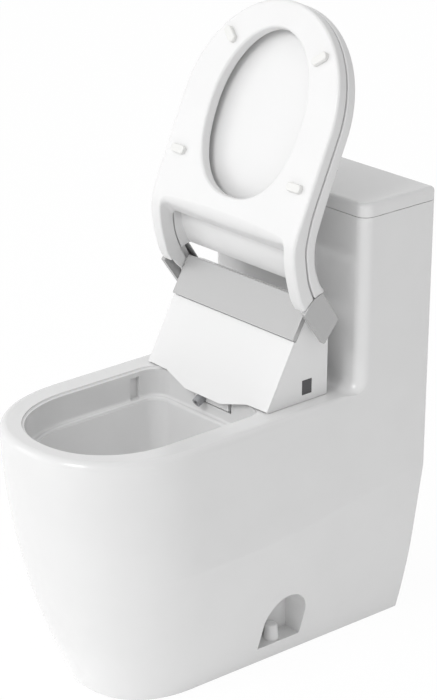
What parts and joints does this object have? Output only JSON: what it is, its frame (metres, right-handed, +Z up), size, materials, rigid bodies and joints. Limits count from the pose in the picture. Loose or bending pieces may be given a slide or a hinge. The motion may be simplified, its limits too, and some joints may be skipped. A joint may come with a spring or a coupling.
{
  "type": "one-piece toilet",
  "caption": "One-piece skirted toilet with a tall square tank, an electronic washing seat, and a ring and lid raised on a side hinge.",
  "frame": {"origin": "on the floor under the centre of the body's bounding box", "axes": "+Z up, -Y towards the front of the bowl, +Y towards the wall, +X to the right seen from the front; the plane X = 0 is the plane of symmetry"},
  "size_m": [0.352, 0.684, 1.0475],
  "materials": {
    "ceramic": "white gloss glaze",
    "seat_plastic": "white semi-gloss moulding",
    "band_metal": "silver satin paint",
    "chrome": "bright plated",
    "steel": "satin steel",
    "window": "smoked grey gloss",
    "dark_rubber": "matt black rubber",
    "pale_rubber": "soft white rubber",
    "inner_plastic": "plain pale moulding",
    "seal": "blue silicone"
  },
  "bodies": {
    "body": {"ceramic_body": "ceramic", "outlet_gasket": "dark_rubber", "floor_bolt_left": "steel", "floor_bolt_right": "steel", "bolt_washer_left": "steel", "bolt_washer_right": "steel", "bolt_nut_left": "steel", "bolt_nut_right": "steel", "bolt_cap_left": "ceramic", "bolt_cap_right": "ceramic", "flush_valve_seat": "inner_plastic", "flush_valve_cage": "inner_plastic", "overflow_tube": "inner_plastic", "fill_valve_stem": "inner_plastic", "fill_valve_nut": "inner_plastic", "fill_valve_head": "inner_plastic", "refill_hose": "inner_plastic", "mounting_plate": "steel", "fixing_bolt_left": "steel", "fixing_bolt_right": "steel", "fixing_sleeve_left": "dark_rubber", "fixing_sleeve_right": "dark_rubber", "base_tray": "inner_plastic", "housing_shell": "seat_plastic", "receiver_window": "window", "front_panel": "seat_plastic", "trim_band": "band_metal", "bearing_bush_left": "inner_plastic", "bearing_bush_right": "inner_plastic", "hinge_damper_left": "inner_plastic", "hinge_damper_right": "inner_plastic", "nozzle_guide": "seat_plastic", "nozzle_motor": "inner_plastic", "water_heater": "inner_plastic", "control_module": "inner_plastic", "water_inlet": "chrome"},
    "tank_cover": {"tank_lid": "ceramic", "button_bezel": "chrome", "bezel_nut": "inner_plastic"},
    "full_flush": {"full_button": "chrome", "full_push_rod": "inner_plastic"},
    "half_flush": {"half_button": "chrome", "half_push_rod": "inner_plastic"},
    "flush_valve": {"flush_piston": "inner_plastic", "flush_seal": "seal"},
    "float": {"fill_float": "inner_plastic"},
    "lid": {"seat_lid": "seat_plastic", "lid_pad_left": "pale_rubber", "lid_pad_right": "pale_rubber", "lid_shaft": "steel", "hinge_cap_left": "band_metal", "hinge_cap_right": "band_metal"},
    "ring": {"seat_ring": "seat_plastic", "ring_bumper_rear_left": "pale_rubber", "ring_bumper_rear_right": "pale_rubber", "ring_bumper_front_left": "pale_rubber", "ring_bumper_front_right": "pale_rubber"},
    "nozzle": {"nozzle_wand": "chrome", "nozzle_tip": "inner_plastic"}
  },
  "joints": [
    {"name": "lid_hinge", "type": "hinge", "parent": "body", "child": "lid", "pos_m": [0, 0.1153, 0.5811], "axis": [-1, 0, 0], "range_deg": [-113.9, 0]},
    {"name": "seat_hinge", "type": "hinge", "parent": "lid", "child": "ring", "pos_m": [0, 0.1153, 0.5811], "axis": [1, 0, 0], "range_deg": [0, 113.9]},
    {"name": "nozzle_slide", "type": "slide", "parent": "body", "child": "nozzle", "axis": [0, -0.866, -0.5], "range_m": [0, 0.09]},
    {"name": "tank_cover_lift", "type": "slide", "parent": "body", "child": "tank_cover", "axis": [0, 0, 1], "range_m": [0, 0.06]},
    {"name": "full_flush_press", "type": "slide", "parent": "tank_cover", "child": "full_flush", "axis": [0, 0, -1], "range_m": [0, 0.006], "stiffness_N_per_m": 300, "springref_m": -0.01},
    {"name": "half_flush_press", "type": "slide", "parent": "tank_cover", "child": "half_flush", "axis": [0, 0, -1], "range_m": [0, 0.006], "stiffness_N_per_m": 300, "springref_m": -0.01},
    {"name": "flush_valve_lift", "type": "slide", "parent": "body", "child": "flush_valve", "axis": [0, 0, 1], "range_m": [0, 0.02]},
    {"name": "float_rise", "type": "slide", "parent": "body", "child": "float", "axis": [0, 0, 1], "range_m": [0, 0.06]}
  ],
  "couplings": [
    {"joint": "flush_valve_lift", "follows": "full_flush_press", "ratio": 3.3}
  ]
}
